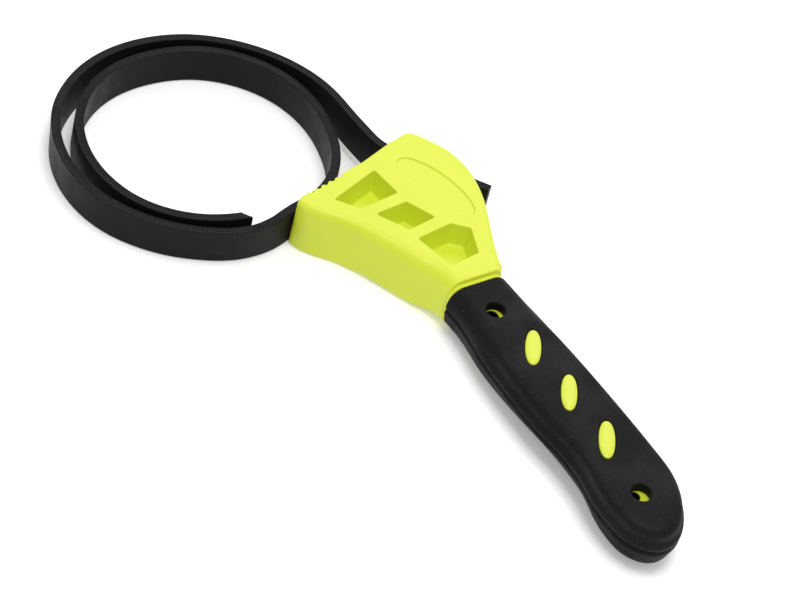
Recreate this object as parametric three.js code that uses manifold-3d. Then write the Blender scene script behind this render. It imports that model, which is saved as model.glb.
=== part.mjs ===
// Strap-type oil filter wrench: a lime moulded handle core with a pocketed head, a black soft grip with
// lime inlays, and a black rubber strap that leaves the head's slot and lies as a loop of two turns.
// Millimetres, +Z up, lying flat. +X runs from the loop to the end of the grip.
import * as THREE from "three";
import { mergeVertices } from "three/addons/utils/BufferGeometryUtils.js";
import Module from "manifold-3d";

const wasm = await Module();
wasm.setup();

// Driving dimensions
const HEAD_T = 22; // thickness of the head
const GRIP_T = 18; // thickness of the grip, centred in the head's thickness
const SHANK_T = 10; // thickness of the core inside the grip
const STRAP_W = 15; // width of the strap, its height as it lies
const STRAP_T = 3.6; // thickness of the strap
const STRAP_CHAMFER = 0.4;
const GAP = 0.3; // clearance between pieces
const WEDGE = 1.4; // length of the wedge at a strap piece's end
const MID = HEAD_T / 2; // height of the handle's middle plane
const POCKET_DEPTH = 9;
const POCKET_DRAFT = 1.3;
const POCKET_CORNER = 0.8;
const LABEL_DEPTH = 0.5;
const NECK_X = -13.8; // end of the head, where the collar starts
const GRIP_X = -11.3; // front face of the grip
const HOLE_R = 3.7;
const HOLE_Y = -2.6;
const HOLE_X = [2.6, 94.8];
const INLAY_X = [23.6, 46.8, 70.4];
const INLAY_ANGLE = THREE.MathUtils.degToRad(-35);
const INLAY_LONG = 8.7;
const INLAY_SHORT = 3;
const BORE_R = 2.8; // bore through the core under each hole of the grip
const TOOTH_COUNT = 5;
const TOOTH_DEPTH = 1.2;

// Point at an angle in degrees and a radius round a centre.
const polar = (centre, degrees, radius) =>
  new THREE.Vector2(
    centre.x + radius * Math.cos(THREE.MathUtils.degToRad(degrees)),
    centre.y + radius * Math.sin(THREE.MathUtils.degToRad(degrees)),
  );

// Catmull-Rom through the points, with the corner points kept where the curve ends.
function smooth(points, count) {
  const curve = new THREE.SplineCurve(points.map(([x, y]) => new THREE.Vector2(x, y)));
  return curve.getPoints(count);
}

// Closed outline of an ellipse, turned by an angle.
function ellipse(x, y, long, short, angle, count = 28) {
  const points = [];
  for (let i = 0; i < count; i++) {
    const a = (2 * Math.PI * i) / count;
    points.push(
      new THREE.Vector2(long * Math.cos(a), short * Math.sin(a))
        .rotateAround(new THREE.Vector2(0, 0), angle)
        .add(new THREE.Vector2(x, y)),
    );
  }
  return points;
}

// Inward direction at each point of an outline that runs anticlockwise, lengthened at corners.
function inwards(outline) {
  const n = outline.length;
  return outline.map((p, i) => {
    const before = p.clone().sub(outline[(i + n - 1) % n]).normalize();
    const after = outline[(i + 1) % n].clone().sub(p).normalize();
    const a = new THREE.Vector2(-before.y, before.x);
    const b = new THREE.Vector2(-after.y, after.x);
    const sum = a.clone().add(b).normalize();
    return sum.multiplyScalar(1 / Math.max(0.6, sum.dot(a)));
  });
}

// Solid between rings of equal length, bottom ring first. Each ring is a list of [x, y, z].
function loft(rings) {
  const n = rings[0].length;
  const position = rings.flat(2);
  const index = [];
  for (let k = 0; k + 1 < rings.length; k++) {
    for (let i = 0; i < n; i++) {
      const a = k * n + i;
      const b = k * n + ((i + 1) % n);
      index.push(a, b, b + n, a, b + n, a + n);
    }
  }
  const cap = (ring, base, flip) => {
    const flat = ring.map(([x, y]) => new THREE.Vector2(x, y));
    for (const [a, b, c] of THREE.ShapeUtils.triangulateShape(flat, [])) {
      index.push(base + a, base + (flip ? c : b), base + (flip ? b : c));
    }
  };
  cap(rings[0], 0, true);
  cap(rings[rings.length - 1], (rings.length - 1) * n, false);
  const geometry = new THREE.BufferGeometry();
  geometry.setAttribute("position", new THREE.Float32BufferAttribute(position, 3));
  geometry.setIndex(index);
  return geometry;
}

// Solid on an outline, moved inwards at each height. Levels is a list of [z, full inset, slim inset]; a
// point stands between the two by its slimness, and takes its share of the result.
function stacked(outline, levels, shares, slimness) {
  const direction = inwards(outline);
  return loft(
    levels.map(([z, full, slim]) =>
      outline.map((p, i) => {
        const d = THREE.MathUtils.lerp(full, slim, slimness[i]) * shares[i];
        return [p.x + direction[i].x * d, p.y + direction[i].y * d, z];
      }),
    ),
  );
}

// Plate whose top and bottom edges are rounded, with two radii for each point of the outline.
function roundedPlate(outline, topRadii, lowRadii, bottom, top, steps) {
  const direction = inwards(outline);
  const ring = (radii, height, turn, side) =>
    outline.map((p, i) => {
      const d = radii[i] * (1 - Math.cos(turn));
      const z = height - side * radii[i] * (1 - Math.sin(turn));
      return [p.x + direction[i].x * d, p.y + direction[i].y * d, z];
    });
  const rings = [];
  for (let k = steps; k >= 0; k--) {
    rings.push(ring(lowRadii, bottom, (k / steps) * (Math.PI / 2), -1));
  }
  for (let k = 0; k <= steps; k++) {
    rings.push(ring(topRadii, top, (k / steps) * (Math.PI / 2), 1));
  }
  return loft(rings);
}

// Straight prism on an outline.
const prism = (outline, bottom, top) =>
  loft([bottom, top].map((z) => outline.map((p) => [p.x, p.y, z])));

function solid(geometry) {
  const merged = mergeVertices(geometry, 1e-4);
  return new wasm.Manifold(
    new wasm.Mesh({
      numProp: 3,
      vertProperties: merged.attributes.position.array,
      triVerts: new Uint32Array(merged.index.array),
    }),
  );
}

function geometryOf(made) {
  const mesh = made.getMesh();
  const geometry = new THREE.BufferGeometry();
  geometry.setAttribute("position", new THREE.BufferAttribute(mesh.vertProperties, 3));
  geometry.setIndex(new THREE.BufferAttribute(mesh.triVerts, 1));
  return geometry;
}

const without = (body, cutters) =>
  cutters.reduce((left, cutter) => left.subtract(solid(cutter)), solid(body));

// Materials
const LIME = { color: 0xc9ee16, roughness: 0.42, metalness: 0 };
const GRIP_BLACK = { color: 0x1b1b1e, roughness: 0.75, metalness: 0 };
const STRAP_BLACK = { color: 0x202024, roughness: 0.6, metalness: 0 };

const group = new THREE.Group();
group.name = "oil_filter_wrench";

function add(name, geometry, finish) {
  const flat = geometry.index ? geometry.toNonIndexed() : geometry;
  flat.computeVertexNormals();
  const mesh = new THREE.Mesh(flat, new THREE.MeshStandardMaterial(finish));
  mesh.name = name;
  group.add(mesh);
}

// Strap: its centre line, first straight through the head's slot, then round the loop.
const LOOP_CENTRE = new THREE.Vector2(-126.2, -53.7);
const SLOT_END = new THREE.Vector2(-53.6, 32.5);
const SLOT_MOUTH = new THREE.Vector2(-87.5, 7.9);
const MOUTH_BEND = [
  [-90.4, 5.9],
  [-94.4, 4.6],
];
// Radius of the strap's centre line round the loop centre, at angles in degrees that keep growing.
const TURN_RADII = [
  [64, 64.4],
  [69.5, 61.3],
  [76, 58.9],
  [84, 57.5],
  [97, 56.5],
  [115, 55.7],
  [150, 55.1],
  [175, 55],
  [200, 55.4],
  [220, 55.8],
  [240, 56.8],
  [265, 57.2],
  [290, 57.1],
  [311, 55.9],
  [330, 54.8],
  [346, 54.4],
  [360, 53.4],
  [373, 51.7],
  [386, 52.4],
  [403, 51.8],
  [417, 50.5],
  [432, 49.2],
  [450, 48.7],
  [480, 48.6],
  [510, 48.4],
  [540, 47.6],
  [570, 47.8],
  [595, 47.9],
  [620, 48.2],
  [640, 48.7],
  [662, 49.5],
  [685, 49.3],
  [706, 48.6],
  [716, 48.3],
];
const TURN_STEP = 5; // degrees between the strap's stations
const BEND_OUTER = 150; // angles of the strap's bending places
const TURN_CHANGE = 374;
const BEND_INNER = 586;
const BEND_TAIL = 646;
const TAIL_END = 711;
const TAIL_SKEW = 1; // the end is cut on the slant, longest on the outside
const SAG_END = 146; // from here on the strap lies on the ground
const MOUTH_Z = MID - STRAP_W / 2; // the slot is centred in the head's thickness

function turnRadius(angle) {
  let k = 1;
  while (k < TURN_RADII.length - 2 && TURN_RADII[k][0] < angle) {
    k++;
  }
  const [a0, r0] = TURN_RADII[k - 1];
  const [a1, r1] = TURN_RADII[k];
  const slope = (i) => {
    const [al, rl] = TURN_RADII[Math.max(0, i - 1)];
    const [ar, rr] = TURN_RADII[Math.min(TURN_RADII.length - 1, i + 1)];
    return (rr - rl) / (ar - al);
  };
  const w = a1 - a0;
  const t = (angle - a0) / w;
  return (
    r0 * (1 + 2 * t) * (1 - t) ** 2 +
    r1 * t * t * (3 - 2 * t) +
    w * (slope(k - 1) * t * (1 - t) ** 2 - slope(k) * t * t * (1 - t))
  );
}

const sagHeight = (angle) => {
  const t = THREE.MathUtils.clamp((angle - 58) / (SAG_END - 58), 0, 1);
  return MOUTH_Z * (1 - t * t * (3 - 2 * t));
};

// Stations of the strap between two angles: a point, the heading there and the height of its lower edge.
function turnStations(from, to) {
  const steps = Math.max(1, Math.round((to - from) / TURN_STEP));
  const stations = [];
  for (let i = 0; i <= steps; i++) {
    const angle = from + ((to - from) * i) / steps;
    const point = polar(LOOP_CENTRE, angle, turnRadius(angle));
    const ahead = polar(LOOP_CENTRE, angle + 0.5, turnRadius(angle + 0.5));
    const behind = polar(LOOP_CENTRE, angle - 0.5, turnRadius(angle - 0.5));
    const heading = ahead.sub(behind).normalize();
    stations.push({ point, heading, z: sagHeight(angle), skew: 0, share: 1 });
  }
  return stations;
}

// The same stations with both ends brought to a wedge, so that two pieces can bend where they meet.
function wedged(stations, atStart, atEnd) {
  const result = [...stations];
  const wedge = (edge, inner) => {
    const along = inner.point.clone().sub(edge.point);
    const back = { ...edge, point: edge.point.clone().addScaledVector(along.normalize(), WEDGE) };
    return [{ ...edge, share: 0.12 }, back];
  };
  if (atStart) {
    result.splice(0, 1, ...wedge(stations[0], stations[1]));
  }
  if (atEnd) {
    const last = stations.length - 1;
    result.splice(result.length - 1, 1, ...wedge(stations[last], stations[last - 1]).reverse());
  }
  return result;
}

// Strap piece through its stations. The section is a rectangle with chamfered edges; skew slants an end
// and share narrows it.
function strapPiece(stations) {
  const c = STRAP_CHAMFER;
  const h = STRAP_T / 2;
  const section = [
    [h - c, 0],
    [h, c],
    [h, STRAP_W - c],
    [h - c, STRAP_W],
    [c - h, STRAP_W],
    [-h, STRAP_W - c],
    [-h, c],
    [c - h, 0],
  ];
  const n = section.length;
  const position = [];
  for (const { point, heading, z, skew, share } of stations) {
    for (const [across, up] of section) {
      const side = across * share;
      position.push(
        point.x + heading.y * side + heading.x * side * skew,
        point.y - heading.x * side + heading.y * side * skew,
        z + up,
      );
    }
  }
  const index = [];
  for (let k = 0; k + 1 < stations.length; k++) {
    for (let i = 0; i < n; i++) {
      const a = k * n + i;
      const b = k * n + ((i + 1) % n);
      index.push(a, b + n, b, a, a + n, b + n);
    }
  }
  const last = (stations.length - 1) * n;
  for (let i = 1; i + 1 < n; i++) {
    index.push(0, i, i + 1);
    index.push(last, last + i + 1, last + i);
  }
  const geometry = new THREE.BufferGeometry();
  geometry.setAttribute("position", new THREE.Float32BufferAttribute(position, 3));
  geometry.setIndex(index);
  return geometry;
}

// Anchor: fixed in the slot, with a short square stub behind the head and a short end at the mouth.
const slotHeading = SLOT_MOUTH.clone().sub(SLOT_END).normalize();
const bend = MOUTH_BEND.map(([x, y]) => new THREE.Vector2(x, y));
const topStart = turnStations(64, 69)[0].point;
const station = (point, from, to) => ({
  point,
  heading: to.clone().sub(from).normalize(),
  z: MOUTH_Z,
  skew: 0,
  share: 1,
});
const anchorEnd = station(bend[0].clone().lerp(bend[1], 0.5), bend[0], bend[1]);
add(
  "strap_anchor",
  strapPiece(
    wedged(
      [
        station(SLOT_END, SLOT_END, SLOT_MOUTH),
        station(SLOT_MOUTH, SLOT_END, SLOT_MOUTH),
        station(bend[0], SLOT_MOUTH, bend[1]),
        anchorEnd,
      ],
      false,
      true,
    ),
  ),
  STRAP_BLACK,
);

// The rest of the strap, cut at its bending places.
const gapAngle = (GAP / turnRadius(300)) * THREE.MathUtils.RAD2DEG;
const topRunStart = {
  ...anchorEnd,
  point: anchorEnd.point.clone().addScaledVector(anchorEnd.heading, GAP),
};
add(
  "strap_top_run",
  strapPiece(
    wedged(
      [
        topRunStart,
        station(bend[1], bend[0], topStart),
        ...turnStations(64, BEND_OUTER - gapAngle / 2),
      ],
      true,
      true,
    ),
  ),
  STRAP_BLACK,
);
const pieces = {
  strap_outer_turn: [BEND_OUTER, TURN_CHANGE, true, false],
  strap_inner_turn: [TURN_CHANGE, BEND_INNER, false, true],
  strap_inner_lower: [BEND_INNER, BEND_TAIL, true, true],
};
for (const [name, [from, to, atStart, atEnd]] of Object.entries(pieces)) {
  const stations = turnStations(from + gapAngle / 2, to - gapAngle / 2);
  add(name, strapPiece(wedged(stations, atStart, atEnd)), STRAP_BLACK);
}
const tail = wedged(turnStations(BEND_TAIL + gapAngle / 2, TAIL_END), true, false);
tail[tail.length - 1].skew = TAIL_SKEW;
add("strap_tail", strapPiece(tail), STRAP_BLACK);

// Head: its outline runs anticlockwise from the neck along the straight side to the toothed jaw, up the
// smooth front edge and back along the arc. The edge radii are tables of [x, top radius, low radius].
const CORNER = [-73.1, -43.8];
const TOOTH_START = new THREE.Vector2(-74.9, -38);
const TOOTH_END = new THREE.Vector2(-79.4, -20.4);
const ARC_EDGES = [
  [-91, 0.8, 0.9],
  [-84, 1, 1.3],
  [-60, 1.7, 2.2],
  [-28, 3.2, 3.2],
  [NECK_X, 4, 4.5],
];
const FRONT_EDGES = [
  [-91, 1, 0.8],
  [-80, 0.5, 0.4],
  [-79, 0.35, 0.35],
  [-75.5, 0.35, 0.35],
  [-73.1, 2.2, 0.5],
];
const FLAT_EDGES = [
  [-74, 2.4, 0.6],
  [-52, 3.2, 0.8],
  [-46, 3.6, 2.2],
  [-30, 4.8, 1.9],
  [-26, 5.1, 2.3],
  [-22, 5.4, 3.8],
  [-18, 5.7, 6.1],
  [NECK_X, 6, 6.7],
];
const headOutline = [];
const headTopRadii = [];
const headLowRadii = [];
function fromTable(table, x, column) {
  const k = Math.min(table.length - 1, Math.max(1, table.findIndex((row) => row[0] >= x)));
  const t = THREE.MathUtils.clamp((x - table[k - 1][0]) / (table[k][0] - table[k - 1][0]), 0, 1);
  return THREE.MathUtils.lerp(table[k - 1][column], table[k][column], t);
}
function headRun(points, edges) {
  for (const p of points) {
    headOutline.push(p);
    headTopRadii.push(fromTable(edges, p.x, 1));
    headLowRadii.push(fromTable(edges, p.x, 2));
  }
}
const arcSide = [
  [-89.6, 17.8],
  [-87, 19.9],
  [-82.3, 23],
  [-77.6, 25.7],
  [-72.3, 27.4],
  [-66.4, 28.2],
  [-60.9, 28],
  [-53.2, 26.5],
  [-43.6, 23.1],
  [-28.5, 16.4],
  [-19.5, 13.1],
  [NECK_X, 11.6],
  [NECK_X + 8, 11.2],
];
const flatSide = [
  [NECK_X + 8, -13.2],
  [NECK_X, -13.3],
  [-20.5, -14.6],
  [-27.5, -18],
  [-42, -25],
  [-51, -29.6],
  [-57.6, -34.2],
  [-62.9, -39.2],
  [-67.5, -42.5],
  [-71.4, -44.1],
];
headRun(smooth(arcSide, 34).reverse(), ARC_EDGES);
headRun([[-91, 15.6], [-87.6, 4.6], [-82.1, -9.9]].map(([x, y]) => new THREE.Vector2(x, y)), FRONT_EDGES);
for (let i = TOOTH_COUNT; i > 0; i--) {
  const tip = TOOTH_START.clone().lerp(TOOTH_END, i / TOOTH_COUNT);
  const valley = TOOTH_START.clone().lerp(TOOTH_END, (i - 0.45) / TOOTH_COUNT);
  valley.x += TOOTH_DEPTH;
  headRun([tip, valley], FRONT_EDGES);
}
headRun([TOOTH_START, new THREE.Vector2(...CORNER)], FRONT_EDGES);
headRun(smooth(flatSide, 24).reverse(), FLAT_EDGES);

const POCKETS = [
  [
    [-67.8, -30.6],
    [-60, -23.4],
    [-62.5, -5.8],
    [-76.4, -7.8],
  ],
  [
    [-55.3, -19.6],
    [-43.5, -12],
    [-45.8, 0.8],
    [-56.9, -5.1],
  ],
  [
    [-38.2, -11.4],
    [-21.5, -7.2],
    [-23.5, 6.2],
    [-35.7, 10.6],
    [-40.6, 4.7],
  ],
];

// Outline with its corners cut to short rounds.
function roundCorners(corners, radius) {
  const n = corners.length;
  return corners.flatMap((p, i) => {
    const near = (j) => {
      const q = corners[(j + n) % n].clone();
      return p.clone().addScaledVector(q.sub(p).normalize(), radius);
    };
    const start = near(i - 1);
    const end = near(i + 1);
    const middle = start.clone().add(end).multiplyScalar(0.25).addScaledVector(p, 0.5);
    return [start, middle, end];
  });
}

const pocketCuts = POCKETS.flatMap((corners) => {
  const sharp = corners.map(([x, y]) => new THREE.Vector2(x, y));
  const direction = inwards(sharp);
  const floor = sharp.map((p, i) => p.clone().addScaledVector(direction[i], POCKET_DRAFT));
  const ring = (outline, z) => roundCorners(outline, POCKET_CORNER).map((p) => [p.x, p.y, z]);
  return [
    loft([ring(floor, HEAD_T - POCKET_DEPTH), ring(sharp, HEAD_T + 0.2)]),
    loft([ring(sharp, -0.2), ring(floor, POCKET_DEPTH)]),
  ];
});
const LABEL = ellipse(-60, 10, 19.5, 7.8, THREE.MathUtils.degToRad(15), 32);
const labelCuts = [
  prism(LABEL, HEAD_T - LABEL_DEPTH, HEAD_T + 1),
  prism(LABEL, -1, LABEL_DEPTH),
];
const slotSide = new THREE.Vector2(-slotHeading.y, slotHeading.x).multiplyScalar(STRAP_T / 2 + 0.4);
const slotFar = SLOT_END.clone().addScaledVector(slotHeading, -8);
const slotNear = SLOT_MOUTH.clone().addScaledVector(slotHeading, 12);
const slotCut = prism(
  [
    slotFar.clone().sub(slotSide),
    slotNear.clone().sub(slotSide),
    slotNear.clone().add(slotSide),
    slotFar.clone().add(slotSide),
  ],
  MOUTH_Z - 0.4,
  MOUTH_Z + STRAP_W + 0.4,
);

// Grip outline, anticlockwise from the front of the +Y side round the end to the front of the -Y side.
const GRIP_SIDE = [
  [GRIP_X - 10, -14],
  [GRIP_X, -14],
  [-2, -13.6],
  [7.4, -14.6],
  [15, -15.6],
  [28, -16.3],
  [50, -16],
  [64.6, -14.3],
  [77, -14.5],
  [88, -16.3],
  [97, -16.4],
  [104, -15.5],
  [109.6, -12.8],
  [113.3, -8.8],
  [114.8, -4.3],
  [113.9, 1],
  [110.8, 5.8],
  [105.5, 10.4],
  [99, 13.9],
  [90, 16.3],
  [76, 16.7],
  [56, 16.5],
  [35, 15.8],
  [13, 14.4],
  [2, 13.4],
  [GRIP_X, 12.6],
  [GRIP_X - 10, 12.6],
];
const gripOutline = smooth(GRIP_SIDE, 60);
const shankOutline = smooth(
  [
    [-14, -9.6],
    [30, -9.8],
    [70, -9.6],
    [100, -9.8],
    [108, -6.5],
    [109.5, -2.5],
    [107, 3],
    [98, 8],
    [70, 9.8],
    [30, 9.8],
    [-14, 9.6],
  ],
  30,
);
const collarOutline = [
  [NECK_X - 1, -12.2],
  [GRIP_X - GAP, -12.2],
  [GRIP_X - GAP, 11.1],
  [NECK_X - 1, 11.1],
].map(([x, y]) => new THREE.Vector2(x, y));
const lipOutline = [
  [NECK_X + 0.7, -13],
  [GRIP_X - GAP, -13],
  [GRIP_X - GAP, 11.8],
  [NECK_X + 0.7, 11.8],
].map(([x, y]) => new THREE.Vector2(x, y));
const level = (outline, value) => outline.map(() => value);
const gripLow = MID - GRIP_T / 2;
const gripHigh = MID + GRIP_T / 2;
const evenPlate = (outline, radius, bottom, top, steps) =>
  roundedPlate(outline, level(outline, radius), level(outline, radius), bottom, top, steps);
const collar = evenPlate(collarOutline, 0.4, gripLow + 0.4, gripHigh - 0.4, 1);
const lip = evenPlate(lipOutline, 0.6, gripLow - 0.2, gripHigh + 0.2, 2);
const shankLow = MID - SHANK_T / 2;
const shankHigh = MID + SHANK_T / 2;
const shank = prism(shankOutline, shankLow, shankHigh);

// Block that cuts a piece square at an end plane.
function endBlock(from, to) {
  const outline = [
    [from, -30],
    [to, -30],
    [to, 30],
    [from, 30],
  ].map(([x, y]) => new THREE.Vector2(x, y));
  return prism(outline, -5, HEAD_T + 5);
}

const core = [collar, lip, shank].reduce(
  (sum, piece) => sum.add(solid(piece)),
  without(roundedPlate(headOutline, headTopRadii, headLowRadii, 0, HEAD_T, 4), [
    ...pocketCuts,
    ...labelCuts,
    slotCut,
    endBlock(NECK_X, 0),
  ]),
);
const bores = HOLE_X.map((x) =>
  solid(prism(ellipse(x - 0.8, HOLE_Y - 0.4, BORE_R, BORE_R, 0, 20), shankLow - 1, shankHigh + 1)),
);
const boredCore = bores.reduce((left, bore) => left.subtract(bore), core);
add("handle_core", geometryOf(boredCore), LIME);

// Grip: two shells that meet at the middle plane in a groove with a soft bead on each side of it.
// Each row is a height away from the middle plane, then how far the wall stands in from the full width
// where the shell is full and where it is slim.
const UPPER_PROFILE = [
  [GAP / 2, 0.6, 0.6],
  [0.8, 0.1, 0.1],
  [1.7, 0, 0],
  [3.2, 0.6, 0.6],
  [4.6, 1.3, 1.3],
  [6.2, 1.45, 1.45],
  [7.4, 1.8, 1.8],
  [8.3, 2.9, 2.9],
  [8.8, 4.6, 4.6],
  [GRIP_T / 2, 6.4, 6.4],
];
const LOWER_PROFILE = [
  [GAP / 2, 0.6, 0.6],
  [0.8, 0.1, 0.3],
  [1.7, 0, 0.45],
  [3.5, 0.4, 1.9],
  [5, 0.65, 3],
  [6.6, 1.2, 4.1],
  [7.8, 2, 5],
  [8.6, 3.4, 5.9],
  [GRIP_T / 2, 6.4, 6.9],
];
// How slim the lower shell is on its -Y side, along X.
const SLIMNESS = [
  [GRIP_X, 0],
  [8, 0.05],
  [20, 0.25],
  [32, 0.5],
  [44, 0.8],
  [50, 1],
  [56, 1],
  [64, 0.62],
  [80, 0.6],
  [92, 0.22],
  [100, 0],
  [116, 0],
];
const gripCuts = [endBlock(-40, GRIP_X)];
gripCuts.push(
  stacked(
    shankOutline,
    [
      [shankLow - GAP, -GAP, -GAP],
      [shankHigh + GAP, -GAP, -GAP],
    ],
    level(shankOutline, 1),
    level(shankOutline, 0),
  ),
);
for (const x of HOLE_X) {
  gripCuts.push(prism(ellipse(x, HOLE_Y, HOLE_R, HOLE_R, 0, 24), 0, HEAD_T));
}
for (const x of INLAY_X) {
  gripCuts.push(
    prism(ellipse(x, 0, INLAY_LONG + GAP, INLAY_SHORT + GAP, INLAY_ANGLE, 24), 0, HEAD_T),
  );
}
// The two corners in front of the cut keep their place, so that the inset doesn't fold over them.
const gripShares = gripOutline.map((p, i) => (i === 0 || i === gripOutline.length - 1 ? 0 : 1));
const slimness = gripOutline.map((p) => (p.y < 0 ? fromTable(SLIMNESS, p.x, 1) : 0.3));
const upper = stacked(
  gripOutline,
  UPPER_PROFILE.map(([up, full, slim]) => [MID + up, full, slim]),
  gripShares,
  slimness,
);
const lower = stacked(
  gripOutline,
  LOWER_PROFILE.map(([up, full, slim]) => [MID - up, full, slim]).reverse(),
  gripShares,
  slimness,
);
add("grip_upper", geometryOf(without(upper, gripCuts)), GRIP_BLACK);
add("grip_lower", geometryOf(without(lower, gripCuts)), GRIP_BLACK);

// Inlays: domed ovals that stand on the core's shank and show through the grip's windows.
// Each pair is a height above the middle plane and the share of the full oval there.
const INLAY_PROFILE = [
  [SHANK_T / 2 + GAP, 1],
  [GRIP_T / 2 - 0.2, 1],
  [GRIP_T / 2 + 0.4, 0.86],
  [GRIP_T / 2 + 0.7, 0.55],
];
INLAY_X.forEach((x, i) => {
  const ring = ([up, share], side) =>
    ellipse(x, 0, INLAY_LONG * share, INLAY_SHORT * share, INLAY_ANGLE, 24).map((p) => [
      p.x,
      p.y,
      MID + side * up,
    ]);
  const upwards = INLAY_PROFILE.map((pair) => ring(pair, 1));
  const downwards = INLAY_PROFILE.map((pair) => ring(pair, -1)).reverse();
  add("inlay_upper_" + (i + 1), loft(upwards), LIME);
  add("inlay_lower_" + (i + 1), loft(downwards), LIME);
});

// Origin: the middle of the whole object's footprint, on the ground.
const box = new THREE.Box3().setFromObject(group);
const centre = box.getCenter(new THREE.Vector3());
group.position.set(-centre.x, -centre.y, -box.min.z);

export default group;
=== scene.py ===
"""Strap-type oil filter wrench: a lime moulded core, a black soft grip with lime inlays and a
rubber strap."""

import math
import bmesh
import bpy
from mathutils import Matrix, Vector
from mathutils.geometry import tessellate_polygon


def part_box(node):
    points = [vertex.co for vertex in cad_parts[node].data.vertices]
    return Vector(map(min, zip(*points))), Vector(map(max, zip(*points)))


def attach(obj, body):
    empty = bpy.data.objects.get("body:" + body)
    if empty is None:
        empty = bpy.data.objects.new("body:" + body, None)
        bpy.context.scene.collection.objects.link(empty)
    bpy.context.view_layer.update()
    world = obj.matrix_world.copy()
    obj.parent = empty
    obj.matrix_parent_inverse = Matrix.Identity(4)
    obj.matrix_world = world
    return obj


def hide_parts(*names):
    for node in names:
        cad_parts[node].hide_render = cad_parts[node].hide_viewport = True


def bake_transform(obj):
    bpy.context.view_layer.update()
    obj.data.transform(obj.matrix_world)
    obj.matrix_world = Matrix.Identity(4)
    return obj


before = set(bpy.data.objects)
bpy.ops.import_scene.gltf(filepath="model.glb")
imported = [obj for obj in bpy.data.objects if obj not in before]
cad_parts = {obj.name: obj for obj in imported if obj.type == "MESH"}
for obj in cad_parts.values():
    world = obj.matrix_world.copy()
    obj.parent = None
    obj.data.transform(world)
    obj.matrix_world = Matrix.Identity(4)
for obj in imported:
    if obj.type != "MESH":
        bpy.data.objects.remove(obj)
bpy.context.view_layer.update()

# Lengths are millimetres in the handle's own frame, +X from the head along the grip, +Z up.
MM = 0.001
HEAD_T = 22.0
GRIP_T = 18.0
SHANK_T = 10.0
MID = HEAD_T / 2
GAP = 0.3
NECK_X = -13.8  # end of the head
GRIP_X = -11.3  # front of the grip
SUPPORT = 0.22  # width of the flat margin beside each rounded edge
SHARP = math.radians(35)  # faces that meet at a greater angle keep a sharp edge
MITRE = 0.6  # limits how far an inward direction reaches at a sharp corner

# Where the handle's frame is in the part's frame.
shift_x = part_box("grip_upper")[0].x / MM - GRIP_X
inlay_low, inlay_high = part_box("inlay_upper_1")
shift_y = (inlay_low.y + inlay_high.y) / 2 / MM


def place(x, y, z):
    """A point of the handle's frame in the part's frame, in metres."""
    return Vector(((x + shift_x) * MM, (y + shift_y) * MM, z * MM))


# ---------------------------------------------------------------- curves


def spline(points, spacing):
    """Points about spacing apart on a smooth curve through the given ones."""
    controls = [Vector(p) for p in points]
    last = len(controls) - 1
    result = []
    for i in range(last):
        before, start, end, after = (
            controls[min(max(j, 0), last)] for j in range(i - 1, i + 3)
        )
        leave, arrive = (end - before) / 2, (after - start) / 2
        steps = max(1, round((end - start).length / spacing))
        for k in range(steps):
            t = k / steps
            result.append(
                start * (2 * t**3 - 3 * t**2 + 1)
                + leave * (t**3 - 2 * t**2 + t)
                + end * (3 * t**2 - 2 * t**3)
                + arrive * (t**3 - t**2)
            )
    result.append(controls[last])
    return result


def resample(points, spacing):
    """The same polyline with points evenly spaced along it."""
    lengths = [0.0]
    for a, b in zip(points, points[1:]):
        lengths.append(lengths[-1] + (b - a).xy.length)
    steps = round(lengths[-1] / spacing)
    result = []
    j = 0
    for k in range(steps + 1):
        goal = lengths[-1] * k / steps
        while j < len(points) - 2 and lengths[j + 1] < goal:
            j += 1
        share = (goal - lengths[j]) / (lengths[j + 1] - lengths[j])
        result.append(points[j].lerp(points[j + 1], share))
    return result


def soften(points, times):
    """An open polyline with its corners eased; its end points stay."""
    for _ in range(times):
        inner = [
            (a + 2 * b + c) / 4 for a, b, c in zip(points, points[1:], points[2:])
        ]
        points = [points[0], *inner, points[-1]]
    return points


def smoothstep(low, high, value):
    t = min(1.0, max(0.0, (value - low) / (high - low)))
    return t * t * (3 - 2 * t)


def quarter(steps):
    """Angles from 0 to 90 degrees, in radians."""
    return [math.radians(90 * k / steps) for k in range(steps + 1)]


def inwards(points, closed):
    """Unit directions to the left of each point of an anticlockwise outline.
    An open outline's ends lie on a plane across X, so their directions stay in it."""
    n = len(points)
    result = []
    for i, p in enumerate(points):
        if not closed and i in (0, n - 1):
            neighbour = points[1] if i == 0 else points[n - 2]
            ahead = neighbour.x - p.x if i == 0 else p.x - neighbour.x
            result.append(Vector((0, 1 if ahead > 0 else -1)))
            continue
        a, b = p.xy - points[i - 1].xy, points[(i + 1) % n].xy - p.xy
        a.normalize()
        b.normalize()
        side = Vector((-a.y - b.y, a.x + b.x)).normalized()
        result.append(side / max(MITRE, side.dot(Vector((-a.y, a.x)))))
    return result


# ---------------------------------------------------------------- meshes


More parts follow.
